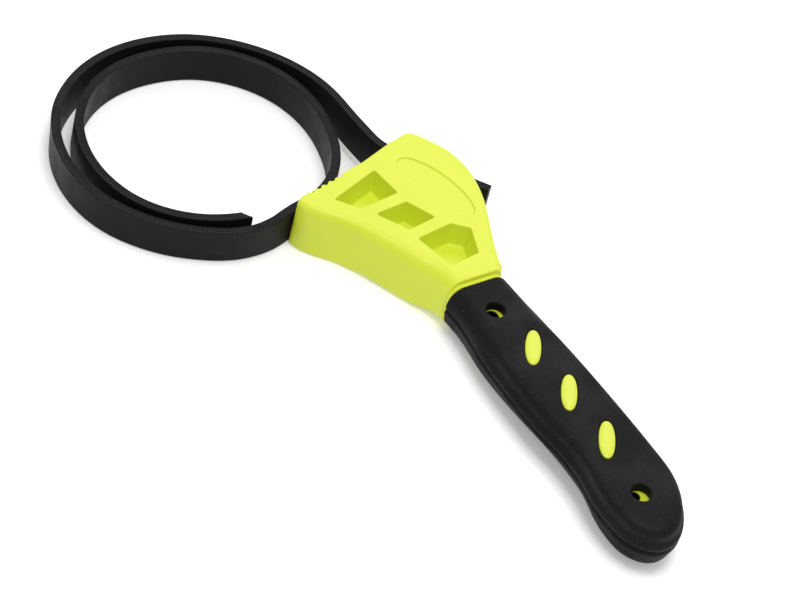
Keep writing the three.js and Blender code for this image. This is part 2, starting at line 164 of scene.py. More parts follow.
class Shape:
    """Points in the handle's frame and the faces between them, built ring by ring."""

    def __init__(self):
        self.points = []
        self.faces = []

    def ring(self, points):
        first = len(self.points)
        self.points.extend(Vector(p) for p in points)
        return list(range(first, len(self.points)))

    def bands(self, rings, closed=True):
        for low, high in zip(rings, rings[1:]):
            n = len(low)
            for i in range(n if closed else n - 1):
                j = (i + 1) % n
                self.faces.append((low[i], low[j], high[j], high[i]))

    def cap(self, outer, holes=()):
        loops = [outer, *holes]
        flat = [i for loop in loops for i in loop]
        triangles = tessellate_polygon(
            [[self.points[i] for i in loop] for loop in loops]
        )
        self.faces.extend((flat[a], flat[b], flat[c]) for a, b, c in triangles)

    def end_face(self, loop, radius, steps=4):
        """Closes an end that lies on a plane across X, with its edge rounded towards +X or -X."""
        flat = [Vector((self.points[i].y, self.points[i].z)) for i in loop]
        area = sum(
            a.x * b.y - b.x * a.y for a, b in zip(flat, flat[1:] + flat[:1])
        )
        if area < 0:
            loop, flat = loop[::-1], flat[::-1]
        x = self.points[loop[0]].x
        directions = inwards(flat, True)
        rings = [loop]
        for turn in quarter(steps)[1:]:
            inset = abs(radius) * (1 - math.cos(turn))
            rings.append(
                self.ring(
                    (x + radius * math.sin(turn), *(p + d * inset))
                    for p, d in zip(flat, directions)
                )
            )
        self.bands(rings)
        self.cap(rings[-1])

    def build(self, name, material):
        mesh = bpy.data.meshes.new(name)
        mesh.from_pydata([place(*p) for p in self.points], [], self.faces)
        tidy = bmesh.new()
        tidy.from_mesh(mesh)
        bmesh.ops.recalc_face_normals(tidy, faces=tidy.faces)
        tidy.to_mesh(mesh)
        tidy.free()
        mesh.shade_smooth()
        mesh.set_sharp_from_angle(angle=SHARP)
        mesh.materials.append(material)
        piece = bpy.data.objects.new(name, mesh)
        bpy.context.scene.collection.objects.link(piece)
        return piece


def level_ring(shape, outline, directions, inset, z):
    """A ring on an outline moved inwards by inset(i), at height z(i)."""
    return shape.ring(
        (p.x + d.x * inset(i), p.y + d.y * inset(i), z(i))
        for i, (p, d) in enumerate(zip(outline, directions))
    )


def ellipse(x, y, a, b, angle, count=56, power=1.0):
    """An oval's points, anticlockwise, with its long axis turned by angle degrees.
    A power below 1 makes it fuller than an ellipse."""
    turn = math.radians(angle)
    result = []
    for k in range(count):
        t = math.tau * k / count
        c, s = math.cos(t), math.sin(t)
        u = a * math.copysign(abs(c) ** power, c)
        v = b * math.copysign(abs(s) ** power, s)
        result.append(
            Vector(
                (
                    x + u * math.cos(turn) - v * math.sin(turn),
                    y + u * math.sin(turn) + v * math.cos(turn),
                )
            )
        )
    return result


def offset_polygon(corners, inset):
    """A polygon with each side moved inwards by inset."""
    result = []
    n = len(corners)
    for i, p in enumerate(corners):
        a = (p - corners[i - 1]).normalized()
        b = (corners[(i + 1) % n] - p).normalized()
        side = Vector((-a.y - b.y, a.x + b.x)).normalized()
        result.append(p + side * (inset / side.dot(Vector((-a.y, a.x)))))
    return result


def round_corners(corners, radius, steps=7):
    """A convex polygon with its corners turned into arcs."""
    result = []
    n = len(corners)
    for i, p in enumerate(corners):
        a = (corners[i - 1] - p).normalized()
        b = (corners[(i + 1) % n] - p).normalized()
        half = math.acos(a.dot(b)) / 2
        centre = p + (a + b).normalized() * (radius / math.sin(half))
        start = p + a * (radius / math.tan(half)) - centre
        turn = math.pi - 2 * half
        for k in range(steps + 1):
            t = turn * k / steps
            c, s = math.cos(t), math.sin(t)
            spoke = Vector((start.x * c - start.y * s, start.x * s + start.y * c))
            result.append(centre + spoke)
    return result


# ---------------------------------------------------------------- materials


class Nodes:
    """A material's node tree with short calls."""

    MIX_A, MIX_B, MIX_RESULT = 6, 7, 2  # a Mix node's colour sockets

    def __init__(self, name):
        self.material = bpy.data.materials.new(name)
        self.material.use_nodes = True
        self.tree = self.material.node_tree
        self.shader = self.tree.nodes["Principled BSDF"]
        self.coords = self.tree.nodes.new("ShaderNodeTexCoord").outputs["Object"]

    def put(self, socket, value):
        if isinstance(value, bpy.types.NodeSocket):
            self.tree.links.new(value, socket)
        else:
            socket.default_value = value

    def noise(self, scale, detail=2.0, rough=0.5, stretch=None):
        """Noise in the object's own coordinates; stretch is a scale and a rotation for them."""
        node = self.tree.nodes.new("ShaderNodeTexNoise")
        node.inputs["Scale"].default_value = scale
        node.inputs["Detail"].default_value = detail
        node.inputs["Roughness"].default_value = rough
        vector = self.coords
        if stretch:
            mapping = self.tree.nodes.new("ShaderNodeMapping")
            for name, value in zip(("Scale", "Rotation"), stretch):
                mapping.inputs[name].default_value = value
            self.put(mapping.inputs["Vector"], vector)
            vector = mapping.outputs["Vector"]
        self.put(node.inputs["Vector"], vector)
        return node.outputs["Fac"]

    def remap(self, value, low, high, out_low, out_high):
        node = self.tree.nodes.new("ShaderNodeMapRange")
        for name, number in zip(
            ("From Min", "From Max", "To Min", "To Max"), (low, high, out_low, out_high)
        ):
            node.inputs[name].default_value = number
        self.put(node.inputs["Value"], value)
        return node.outputs["Result"]

    def math(self, kind, a, b):
        node = self.tree.nodes.new("ShaderNodeMath")
        node.operation = kind
        self.put(node.inputs[0], a)
        self.put(node.inputs[1], b)
        return node.outputs[0]

    def mix(self, share, a, b):
        node = self.tree.nodes.new("ShaderNodeMix")
        node.data_type = "RGBA"
        self.put(node.inputs["Factor"], share)
        self.put(node.inputs[self.MIX_A], a)
        self.put(node.inputs[self.MIX_B], b)
        return node.outputs[self.MIX_RESULT]

    def bump(self, height, depth, strength=1.0, below=None):
        node = self.tree.nodes.new("ShaderNodeBump")
        node.inputs["Strength"].default_value = strength
        node.inputs["Distance"].default_value = depth
        self.put(node.inputs["Height"], height)
        if below:
            self.put(node.inputs["Normal"], below)
        return node.outputs["Normal"]

    def facing_up(self, low, high):
        """1 where the surface faces up, 0 where it is upright."""
        geometry = self.tree.nodes.new("ShaderNodeNewGeometry")
        split = self.tree.nodes.new("ShaderNodeSeparateXYZ")
        self.put(split.inputs[0], geometry.outputs["Normal"])
        return self.remap(split.outputs["Z"], low, high, 0.0, 1.0)


def lime_plastic(name, base, shade, roughness):
    """Moulded plastic: even colour with faint flow marks, a satin skin and fine scuffs."""
    n = Nodes(name)
    flow = n.noise(38, 3, stretch=((1, 3.2, 1), (0, 0, 0.5)))
    cloud = n.noise(9, 2)
    share = n.remap(n.math("ADD", flow, cloud), 0.75, 1.25, 0.0, 1.0)
    n.put(n.shader.inputs["Base Color"], n.mix(share, (*shade, 1), (*base, 1)))
    scuffs = n.noise(160, 6, 0.65, ((1, 14, 1), (0.2, 0.1, 0.9)))
    marks = n.remap(scuffs, 0.62, 0.74, 0.0, 0.09)
    fine = n.noise(420, 3)
    satin = n.remap(fine, 0.3, 0.7, roughness - 0.045, roughness + 0.045)
    n.put(n.shader.inputs["Roughness"], n.math("ADD", satin, marks))
    peel = n.bump(n.noise(330, 2), 0.00006, 0.35)
    grain = n.bump(n.noise(2600, 2), 0.00002, 0.4, peel)
    n.put(n.shader.inputs["Normal"], grain)
    n.shader.inputs["IOR"].default_value = 1.49
    return n.material


def grip_rubber():
    """Soft black overmould: a matt skin with fine grain, faint dust and smoother, rubbed spots."""
    n = Nodes("grip_rubber_black")
    rubbed = n.remap(n.noise(55, 4), 0.42, 0.62, 0.0, 1.0)
    tone = n.mix(rubbed, (0.0048, 0.0048, 0.0056, 1), (0.0078, 0.0078, 0.0088, 1))
    specks = n.remap(n.noise(900, 5, 0.75), 0.56, 0.72, 0.0, 0.3)
    scratches = n.noise(60, 5, 0.6, ((1, 22, 1), (0, 0, -0.3)))
    worn = n.math("MULTIPLY", n.remap(scratches, 0.64, 0.72, 0.0, 0.35), rubbed)
    marks = n.math("MAXIMUM", specks, worn)
    n.put(n.shader.inputs["Base Color"], n.mix(marks, tone, (0.07, 0.07, 0.073, 1)))
    n.put(n.shader.inputs["Roughness"], n.remap(rubbed, 0.0, 1.0, 0.64, 0.5))
    soft = n.bump(n.noise(210, 3), 0.00016, 0.5)
    grain = n.bump(n.noise(1900, 3, 0.6), 0.00008, 0.7, soft)
    n.put(n.shader.inputs["Normal"], grain)
    n.shader.inputs["Specular IOR Level"].default_value = 0.13
    return n.material


def strap_rubber():
    """Extruded black rubber: faint lines along its length and a grainier cut edge."""
    n = Nodes("strap_rubber_black")
    streaks = n.noise(70, 3, stretch=((1, 1, 18), (0, 0, 0)))
    tone = n.mix(streaks, (0.004, 0.004, 0.0046, 1), (0.0075, 0.0075, 0.0084, 1))
    specks = n.remap(n.noise(1300, 4, 0.7), 0.64, 0.8, 0.0, 0.35)
    edge = n.facing_up(0.5, 0.9)
    grain_height = n.noise(2100, 3, 0.6)
    crumbs = n.math("MULTIPLY", n.remap(grain_height, 0.5, 0.66, 0.0, 0.3), edge)
    marks = n.math("MAXIMUM", specks, crumbs)
    n.put(n.shader.inputs["Base Color"], n.mix(marks, tone, (0.08, 0.08, 0.085, 1)))
    smooth_side = n.remap(n.noise(130, 3), 0.35, 0.65, 0.44, 0.54)
    rough = n.math("ADD", smooth_side, n.math("MULTIPLY", edge, 0.1))
    n.put(n.shader.inputs["Roughness"], rough)
    lines = n.bump(streaks, 0.00008, 0.4)
    cut = n.bump(n.math("MULTIPLY", grain_height, edge), 0.00009, 0.7, lines)
    skin = n.bump(grain_height, 0.00002, 0.5, cut)
    n.put(n.shader.inputs["Normal"], skin)
    n.shader.inputs["Specular IOR Level"].default_value = 0.12
    return n.material


LIME = lime_plastic("lime_moulded", (0.66, 0.735, 0.037), (0.62, 0.7, 0.03), 0.42)
LIME_INLAY = lime_plastic(
    "lime_inlay_gloss", (0.66, 0.725, 0.06), (0.63, 0.705, 0.052), 0.4
)
GRIP = grip_rubber()
STRAP = strap_rubber()


# ---------------------------------------------------------------- handle core

# Each point of the head's outline is x, y and the radius of the edge above it.
ARC_SIDE = [
    (NECK_X, 10.9, 3.6),
    (-15.5, 12.3, 3.8),
    (-19.4, 13.5, 3.6),
    (-28.4, 16.9, 3.2),
    (-43.5, 23.5, 2.6),
    (-53.1, 26.7, 2.2),
    (-60.9, 28.0, 1.8),
    (-66.4, 28.2, 1.6),
    (-72.3, 27.4, 1.3),
    (-77.6, 25.7, 1.1),
    (-82.3, 23.0, 0.9),
    (-87.0, 19.9, 0.8),
    (-89.6, 17.8, 0.8),
]
FRONT = [
    (-91.0, 15.6, 1.0),
    (-87.6, 4.6, 0.8),
    (-82.1, -9.9, 0.6),
]
FLAT_SIDE = [
    (-71.4, -44.1, 2.4),
    (-67.5, -42.5, 2.8),
    (-62.9, -39.2, 3.2),
    (-57.6, -34.2, 3.6),
    (-51.0, -29.6, 4.1),
    (-42.0, -25.0, 4.7),
    (-27.5, -18.0, 5.3),
    (-20.5, -14.6, 5.7),
    (NECK_X, -13.3, 6.0),
]
# Radius of the edge below the outline along x, on the arc's side and on the straight side. In
# front of ARC_FRONT_X and FLAT_FRONT_X it is FRONT_LOW.
ARC_FRONT_X = -90.5
FLAT_FRONT_X = -72.5
ARC_LOW = [(-91, 0.8), (-84, 1.3), (-60, 2.1), (-28, 3.2), (NECK_X, 4.5)]
FLAT_LOW = [
    (-74, 0.6),
    (-52, 0.8),
    (-46, 2.2),
    (-30, 1.9),
    (-26, 2.3),
    (-22, 3.8),
    (-18, 6.1),
    (NECK_X, 6.7),
]
FRONT_LOW = 0.5
TOOTH_START = Vector((-74.9, -38.0, 0.5))
TOOTH_END = Vector((-79.4, -20.4, 0.5))
TOOTH_COUNT = 5
TOOTH_DEPTH = 1.5
TOOTH_VALLEY = 0.45  # where a valley lies, as a share of its tooth
CORNER = Vector((-73.1, -44.0, 2.2))
CORNER_EASE = 28  # how much the corner is rounded off towards the upper face
CORNER_FADE = (3, 7)  # distances from the corner between which this fades out
FOOT_FLARE = 0.35  # how far the straight side leans out towards the lower face
FLARE_IN = (-74.5, -72)  # x over which this lean begins
FLARE_OUT = (-24, -15)  # and ends
FLARE_Y = -10  # the straight side lies beyond this
OUTLINE_STEP = 0.4
OUTLINE_EASE = 3
CURVE_STEP = 0.5
EDGE_SHARE = 0.75  # of the outline's own radius, which an edge's may reach at a convex corner
EDGE_CHANGE = 0.16  # most that an edge's radius changes from point to point
END_EDGE = 0.8  # rounding of the head's end at the neck
MOULD_LINE = 0.07  # how far the mould line stands out
MOULD_LINE_HALF = 0.35


def along(table, x):
    """The value at x of a table of (x, value)."""
    for (x0, v0), (x1, v1) in zip(table, table[1:]):
        if x < x1:
            return v0 + (v1 - v0) * max(0.0, (x - x0) / (x1 - x0))
    return table[-1][1]


def gentle(radii, outline):
    """Edge radii kept below the outline's own at convex corners, and changing gently."""
    radii = list(radii)
    for i in range(1, len(outline) - 1):
        a, b = (outline[i] - outline[i - 1]).xy, (outline[i + 1] - outline[i]).xy
        turn = -a.angle_signed(b)
        if turn > 1e-4:
            radii[i] = min(radii[i], EDGE_SHARE * a.length / turn)
    for order in (range(1, len(radii)), range(len(radii) - 2, -1, -1)):
        for i in order:
            radii[i] = min(radii[i], radii[i - order.step] + EDGE_CHANGE)
    return radii


def head_outlines():
    """The head's outline below and above, anticlockwise from the neck's +Y side to its -Y side,
    each with the radii of its edge."""
    outline = spline(ARC_SIDE, CURVE_STEP)
    outline += [Vector(p) for p in FRONT]
    for i in range(TOOTH_COUNT, 0, -1):
        outline.append(TOOTH_START.lerp(TOOTH_END, i / TOOTH_COUNT))
        valley = TOOTH_START.lerp(TOOTH_END, (i - TOOTH_VALLEY) / TOOTH_COUNT)
        outline.append(valley + Vector((TOOTH_DEPTH, 0, 0)))
    outline += [TOOTH_START, CORNER]
    outline += spline(FLAT_SIDE, CURVE_STEP)
    low = soften(resample(outline, OUTLINE_STEP), OUTLINE_EASE)
    eased = soften(low, CORNER_EASE)
    high = []
    for p, q in zip(low, eased):
        share = 1 - smoothstep(*CORNER_FADE, (p.xy - CORNER.xy).length)
        high.append(Vector((*p.xy.lerp(q.xy, share), p.z)))
    for i, (p, d) in enumerate(zip(low, inwards(low, False))):
        share = smoothstep(*FLARE_IN, p.x) * (1 - smoothstep(*FLARE_OUT, p.x))
        if p.y < FLARE_Y:
            low[i] = p - Vector((*d, 0)) * FOOT_FLARE * share
    low_radii = []
    for p in low:
        if p.y > 5 and p.x > ARC_FRONT_X:
            low_radii.append(along(ARC_LOW, p.x))
        elif p.y < 0 and p.x > FLAT_FRONT_X:
            low_radii.append(along(FLAT_LOW, p.x))
        else:
            low_radii.append(FRONT_LOW)
    return (low, gentle(low_radii, low)), (high, gentle([p.z for p in high], high))


POCKETS = [
    [(-67.8, -30.6), (-60, -23.4), (-62.5, -5.8), (-76.4, -7.8)],
    [(-55.3, -19.6), (-43.5, -12), (-45.8, 0.8), (-56.9, -5.1)],
    [(-38.2, -11.4), (-21.5, -7.2), (-23.5, 6.2), (-35.7, 10.6), (-40.6, 4.7)],
]
POCKET_DEPTH = 9.0
POCKET_DRAFT = 1.3  # how far the walls come in on their way down
POCKET_MOUTH = 0.35  # radius of the edge round the mouth
POCKET_FILLET = 0.6  # radius between the walls and the floor
POCKET_CORNER = 0.7  # radius between two walls
MOUTH_STEPS = 4
FILLET_STEPS = 6
LABEL = (-60, 10, 19.5, 7.8, 15)  # x, y, half length, half width and angle in degrees
LABEL_DEPTH = 0.55
# Inset and depth, from the face to the recess's floor.
LABEL_PROFILE = [
    (-0.3, 0),
    (-0.08, 0),
    (0.06, 0.06),
    (0.16, 0.2),
    (0.28, LABEL_DEPTH - 0.1),
    (0.42, LABEL_DEPTH),
    (0.7, LABEL_DEPTH),
]
LABEL_POINTS = 120
EDGE_STEPS = 9


def pocket(shape, corners, face, down):
    """Walls and floor of a blind pocket; returns the ring round its mouth."""
    corners = [Vector(c) for c in corners]

    def ring(inset, depth, radius):
        outline = round_corners(offset_polygon(corners, inset), radius)
        return shape.ring((p.x, p.y, face + down * depth) for p in outline)

    rings = [ring(-POCKET_MOUTH - SUPPORT, 0, POCKET_CORNER + POCKET_MOUTH + SUPPORT)]
    for turn in quarter(MOUTH_STEPS):
        out = POCKET_MOUTH * (1 - math.sin(turn))
        rings.append(ring(-out, POCKET_MOUTH * (1 - math.cos(turn)), POCKET_CORNER + out))
    low = POCKET_DEPTH - POCKET_FILLET
    rings.append(ring(POCKET_DRAFT * low / POCKET_DEPTH, low, POCKET_CORNER))
    for turn in quarter(FILLET_STEPS)[1:]:
        inset = POCKET_DRAFT + POCKET_FILLET * (1 - math.cos(turn))
        rings.append(ring(inset, low + POCKET_FILLET * math.sin(turn), POCKET_CORNER))
    inset = POCKET_DRAFT + POCKET_FILLET + SUPPORT
    rings.append(ring(inset, POCKET_DEPTH, POCKET_CORNER))
    shape.bands(rings)
    shape.cap(rings[-1])
    return rings[0]


def label_recess(shape, face, down):
    """A shallow oval recess with soft edges; returns the ring round it."""
    x, y, a, b, angle = LABEL
    rings = []
    for inset, depth in LABEL_PROFILE:
        outline = ellipse(x, y, a - inset, b - inset, angle, LABEL_POINTS)
        rings.append(shape.ring((p.x, p.y, face + down * depth) for p in outline))
    shape.bands(rings)
    shape.cap(rings[-1])
    return rings[0]


def head_shape():
    """The whole head, with its pockets and label recesses but without the strap's slot."""
    shape = Shape()
    (low, low_radii), (high, high_radii) = head_outlines()
    sides = {0: (low, inwards(low, False), low_radii)}
    sides[HEAD_T] = (high, inwards(high, False), high_radii)

    def edge(face, turn, extra=0.0):
        """A ring on the rounded edge beside a face; turn is 0 where the wall ends."""
        c, s = math.cos(turn), math.sin(turn)
        sign = 1 if face > MID else -1
        outline, directions, radii = sides[face]
        return level_ring(
            shape,
            outline,
            directions,
            lambda i: radii[i] * (1 - c) + extra,
            lambda i: face - sign * radii[i] * (1 - s),
        )

    turns = quarter(EDGE_STEPS)
    rings = [edge(0, turns[-1], SUPPORT)] + [edge(0, t) for t in reversed(turns)]
    middle = [a.lerp(b, 0.5) for a, b in zip(low, high)]
    outwards = inwards(middle, False)
    for up, inset in ((-MOULD_LINE_HALF, 0), (0, -MOULD_LINE), (MOULD_LINE_HALF, 0)):
        rings.append(
            level_ring(
                shape, middle, outwards, lambda _, d=inset: d, lambda _, u=up: MID + u
            )
        )
    rings += [edge(HEAD_T, t) for t in turns] + [edge(HEAD_T, turns[-1], SUPPORT)]
    shape.bands(rings, closed=False)
    for face, ring, down in ((0, rings[0], 1), (HEAD_T, rings[-1], -1)):
        holes = [pocket(shape, corners, face, down) for corners in POCKETS]
        holes.append(label_recess(shape, face, down))
        shape.cap(ring, holes)
    shape.end_face([r[0] for r in rings] + [r[-1] for r in reversed(rings)], END_EDGE)
    return shape


def bar(sections):
    """A bar along X. A section is x, lowest y, highest y, lowest z, highest z, corner radius."""
    shape = Shape()
    rings = []
    for x, y0, y1, z0, z1, radius in sections:
        corners = [Vector(c) for c in ((y0, z0), (y1, z0), (y1, z1), (y0, z1))]
        outline = round_corners(corners, radius, 5)
        rings.append(shape.ring((x, p.x, p.y) for p in outline))
    shape.bands(rings)
    shape.cap(rings[0])
    shape.cap(rings[-1])
    return shape


def prism(name, outline, heights):
    """An upright solid that cuts a passage."""
    shape = Shape()
    rings = [shape.ring((p.x, p.y, z) for p in outline) for z in heights]
    shape.bands(rings)
    shape.cap(rings[0])
    shape.cap(rings[1])
    return shape.build(name, LIME)


def join(target, other):
    """One mesh that holds both pieces."""
    merged = bmesh.new()
    for piece in (target, other):
        merged.from_mesh(piece.data)
    merged.to_mesh(target.data)
    merged.free()
    bpy.data.objects.remove(other)
    return target


def cut(piece, cutter):
    """The piece with the cutter's volume taken away."""
    modifier = piece.modifiers.new("cut", "BOOLEAN")
    modifier.operation = "DIFFERENCE"
    modifier.solver = "EXACT"
    modifier.object = cutter
    bpy.context.view_layer.update()
    evaluated = piece.evaluated_get(bpy.context.evaluated_depsgraph_get())
    mesh = bpy.data.meshes.new_from_object(evaluated)
    piece.modifiers.clear()
    piece.data = mesh
    bpy.data.objects.remove(cutter)
    mesh.set_sharp_from_angle(angle=SHARP)
    return piece


STRAP_W = 15.0
STRAP_T = 3.6
SLOT_ROOM = 0.4  # all round the strap
SLOT_END = Vector((-54.6, 32.7))  # the stub's end, behind the head
SLOT_MOUTH = Vector((-87.5, 7.9))
MOUTH_Z = MID - STRAP_W / 2
BEYOND_END, BEYOND_MOUTH = 8, 12  # how far the slot's cutter reaches past its two ends


def slot_cutter():
    heading = (SLOT_MOUTH - SLOT_END).normalized()
    side = Vector((-heading.y, heading.x)) * (STRAP_T / 2 + SLOT_ROOM)
    far = SLOT_END - heading * BEYOND_END
    near = SLOT_MOUTH + heading * BEYOND_MOUTH
    base = [far - side, near - side, near + side, far + side]
    return prism(
        "slot_cutter", base, (MOUTH_Z - SLOT_ROOM, MOUTH_Z + STRAP_W + SLOT_ROOM)
    )


HOLE_R = 3.7
HOLE_Y = -2.6
HOLE_X = (2.6, 94.8)
# The core's bores under the grip's holes: x, y and radius. They don't quite line up.
BORES = ((HOLE_X[0] - 0.8, HOLE_Y - 0.4, 2.8), (HOLE_X[1] - 1.7, HOLE_Y - 0.8, 2.3))
BORE_REACH = 7  # from the middle plane, past the shank's faces

grip_low, grip_high = MID - GRIP_T / 2, MID + GRIP_T / 2
shank_low, shank_high = MID - SHANK_T / 2, MID + SHANK_T / 2
# The neck's collar and lip, then the shank inside the grip.
SHANK_SECTIONS = [
    (NECK_X - 0.3, -12.2, 10.6, grip_low + 0.4, grip_high - 0.4, 4.5),
    (NECK_X + 0.15, -12.2, 10.6, grip_low + 0.4, grip_high - 0.4, 4.5),
    (NECK_X + 0.3, -12.7, 10.8, grip_low, grip_high, 4.8),
    (NECK_X + 0.55, -12.95, 11.0, grip_low - 0.2, grip_high + 0.2, 5.0),
    (GRIP_X - GAP - 0.25, -12.95, 11.0, grip_low - 0.2, grip_high + 0.2, 5.0),
    (GRIP_X - GAP, -12.7, 10.8, grip_low, grip_high, 4.8),
    (GRIP_X - GAP + 0.02, -9.6, 9.6, shank_low, shank_high, 0.6),
    (97, -9.6, 8.0, shank_low, shank_high, 0.6),
    (107, -6.0, 2.6, shank_low, shank_high, 0.6),
    (109.2, -4.2, -1.0, shank_low + 0.4, shank_high - 0.4, 0.6),
]

head = cut(head_shape().build("core_head_and_shank", LIME), slot_cutter())
shank = bar(SHANK_SECTIONS).build("shank", LIME)
for x, y, radius in BORES:
    circle = ellipse(x, y, radius, radius, 0)
    cutter = prism("bore_cutter", circle, (MID - BORE_REACH, MID + BORE_REACH))
    shank = cut(shank, cutter)
core = join(head, shank)


# ---------------------------------------------------------------- grip

GRIP_SIDE = [
    (GRIP_X, -14.0),
    (-2, -13.6),
    (7.4, -14.6),
    (15, -15.6),
    (28, -16.3),
    (50, -16.0),
    (64.6, -14.3),
    (77, -14.5),
    (88, -16.3),
    (97, -16.4),
    (104, -15.5),
    (109.6, -12.8),
    (113.3, -8.8),
    (114.8, -4.3),
    (113.9, 1.0),
    (110.8, 5.8),
    (105.5, 10.4),
    (99, 13.9),
    (90, 16.3),
    (76, 16.7),
    (56, 16.5),
    (35, 15.8),
    (13, 14.4),
    (2, 13.4),
    (GRIP_X, 12.6),
]
GRIP_STEP = 0.8
GRIP_EASE = 8
BEAD_FADE = (8, 26)  # the bead above the parting grows between these x
# The upper wall's profile: height above the middle plane, inset with the bead and without it.
UPPER_PROFILE = [
    (GAP / 2, 0.5, 0.42),
    (0.4, 0.32, 0.26),
    (0.85, 0.08, 0.05),
    (1.7, 0.0, 0.0),
    (2.6, 0.25, 0.05),
    (3.4, 0.85, 0.2),
    (4.3, 1.4, 0.45),
    (5.2, 1.55, 0.85),
    (6.2, 1.65, 1.45),
    (7.0, 1.95, 2.2),
    (7.7, 2.5, 3.1),
    (8.3, 3.3, 4.2),
    (8.75, 4.6, 5.4),
    (9.0, 6.6, 6.6),
]
# The lower wall's: height below the middle plane, inset where it is slim and where it is full.
LOWER_PROFILE = [
    (GAP / 2, 0.5, 0.5),
    (0.4, 0.35, 0.32),
    (0.85, 0.3, 0.08),
    (1.7, 0.45, 0.0),
    (3.5, 1.9, 0.4),
    (5.0, 3.0, 0.65),
    (6.6, 4.1, 1.2),
    (7.8, 5.0, 2.0),
    (8.6, 5.9, 3.4),
    (9.0, 6.7, 6.2),
]
# How slim the lower wall is along x on its -Y side, and all along the other side.
SLIMNESS = [
    (GRIP_X, 0.0),
    (8, 0.05),
    (20, 0.25),
    (32, 0.5),
    (44, 0.8),
    (50, 1.0),
    (56, 1.0),
    (64, 0.62),
    (80, 0.6),
    (92, 0.22),
    (100, 0.0),
]
FAR_SLIMNESS = 0.3
SLIMNESS_EASE = 60
PROFILE_STEP = 0.5
SLEEVE_T = 0.35
SLEEVE_ROOM = 0.02  # between a bore and its lining
SLEEVE_RISE = 0.6  # how far a lining starts below the shell's ceiling
HOLE_LIP, INLAY_LIP = 0.4, 0.3  # radii of the edges round the openings
LIP_STEPS = 4
FLAT_END = -0.0001  # a rounding this small leaves the front flat
INLAY_X = (23.6, 46.8, 70.4)
INLAY_ANGLE = -35
INLAY_LONG = 8.6
INLAY_SHORT = 2.95
INLAY_POWER = 0.9
INLAY_POINTS = 64
INLAY_SINK = 0.15  # how far an oval's rim lies below the grip's face
DOME_RISE = 0.8
DOME_INSET = 2.87
DOME_POWER = 0.9
DOME_STEPS = 8
# The room for the shank inside the grip, before the gap is added.
SHANK_SIDE = [
    (GRIP_X, -9.6),
    (30, -9.8),
    (70, -9.6),
    (100, -9.8),
    (108, -6.5),
    (109.5, -2.5),
    (107, 3),
    (98, 8),
    (70, 9.8),
    (30, 9.8),
    (GRIP_X, 9.6),
]


def sleeve(shape, bore, heights):
    """The grip's lining in one of the core's bores, between two heights."""
    rings = []
    x, y, size = bore
    outer, inner = size - SLEEVE_ROOM, size - SLEEVE_T
    for radius, z in zip((outer, outer, inner, inner), (*heights, *heights[::-1])):
        outline = ellipse(x, y, radius, radius, 0)
        rings.append(shape.ring((p.x, p.y, z) for p in outline))
    shape.bands([*rings, rings[0]])


def grip_shell(name, side):
    """Half of the grip: side is 1 for the upper shell and -1 for the lower one."""
    shape = Shape()
    outline = resample(spline(GRIP_SIDE, GRIP_STEP), GRIP_STEP)
    outline = soften(outline, GRIP_EASE)
    directions = inwards(outline, False)
    if side > 0:
        first = [smoothstep(*BEAD_FADE, p.x) for p in outline]
        profile = spline(UPPER_PROFILE, PROFILE_STEP)
    else:
        first = [along(SLIMNESS, p.x) if p.y < 0 else FAR_SLIMNESS for p in outline]
        eased = soften([Vector((v, 0)) for v in first], SLIMNESS_EASE)
        first = [p.x for p in eased]
        profile = spline(LOWER_PROFILE, PROFILE_STEP)
    profile.append(profile[-1] + Vector((0, SUPPORT, SUPPORT)))
    rings = [
        level_ring(
            shape,
            outline,
            directions,
            lambda i, a=inset, b=other: b + (a - b) * first[i],
            lambda _, u=up: MID + side * u,
        )
        for up, inset, other in profile
    ]
    shape.bands(rings, closed=False)
    top = MID + side * GRIP_T / 2
    ceiling = MID + side * (SHANK_T / 2 + GAP)
    openings = [(x, HOLE_Y, HOLE_R, HOLE_R, 0, HOLE_LIP, 1.0) for x in HOLE_X]
    a, b = INLAY_LONG + GAP, INLAY_SHORT + GAP
    openings += [(x, 0, a, b, INLAY_ANGLE, INLAY_LIP, INLAY_POWER) for x in INLAY_X]
    mouths, ends = [], []
    for x, y, a, b, angle, lip, power in openings:
        tube = []
        steps = [(lip + SUPPORT, 0)]
        for t in quarter(LIP_STEPS):
            steps.append((lip * (1 - math.sin(t)), lip * (1 - math.cos(t))))
        steps.append((0, abs(top - ceiling)))
        for out, depth in steps:
            points = ellipse(x, y, a + out, b + out, angle, power=power)
            tube.append(shape.ring((p.x, p.y, top - side * depth) for p in points))
        shape.bands(tube)
        mouths.append(tube[0])
        ends.append(tube[-1])
    for bore in BORES:
        sleeve(shape, bore, (ceiling - side * SLEEVE_RISE, MID + side * GAP / 2))
    shape.cap(rings[-1], mouths)
    cavity = spline(SHANK_SIDE, 2.0)
    outwards = inwards(cavity, False)
    inner = [
        level_ring(shape, cavity, outwards, lambda _: -GAP, lambda _, z=z: z)
        for z in (ceiling, MID + side * GAP / 2)
    ]
    shape.bands(inner, closed=False)
    shape.cap(inner[0], ends)
    shape.cap(rings[0] + inner[1][::-1])
    front = [r[0] for r in rings] + [r[-1] for r in reversed(rings)]
    front += [inner[1][-1], inner[0][-1], inner[0][0], inner[1][0]]
    shape.end_face(front, FLAT_END, 1)
    return shape.build(name, GRIP)


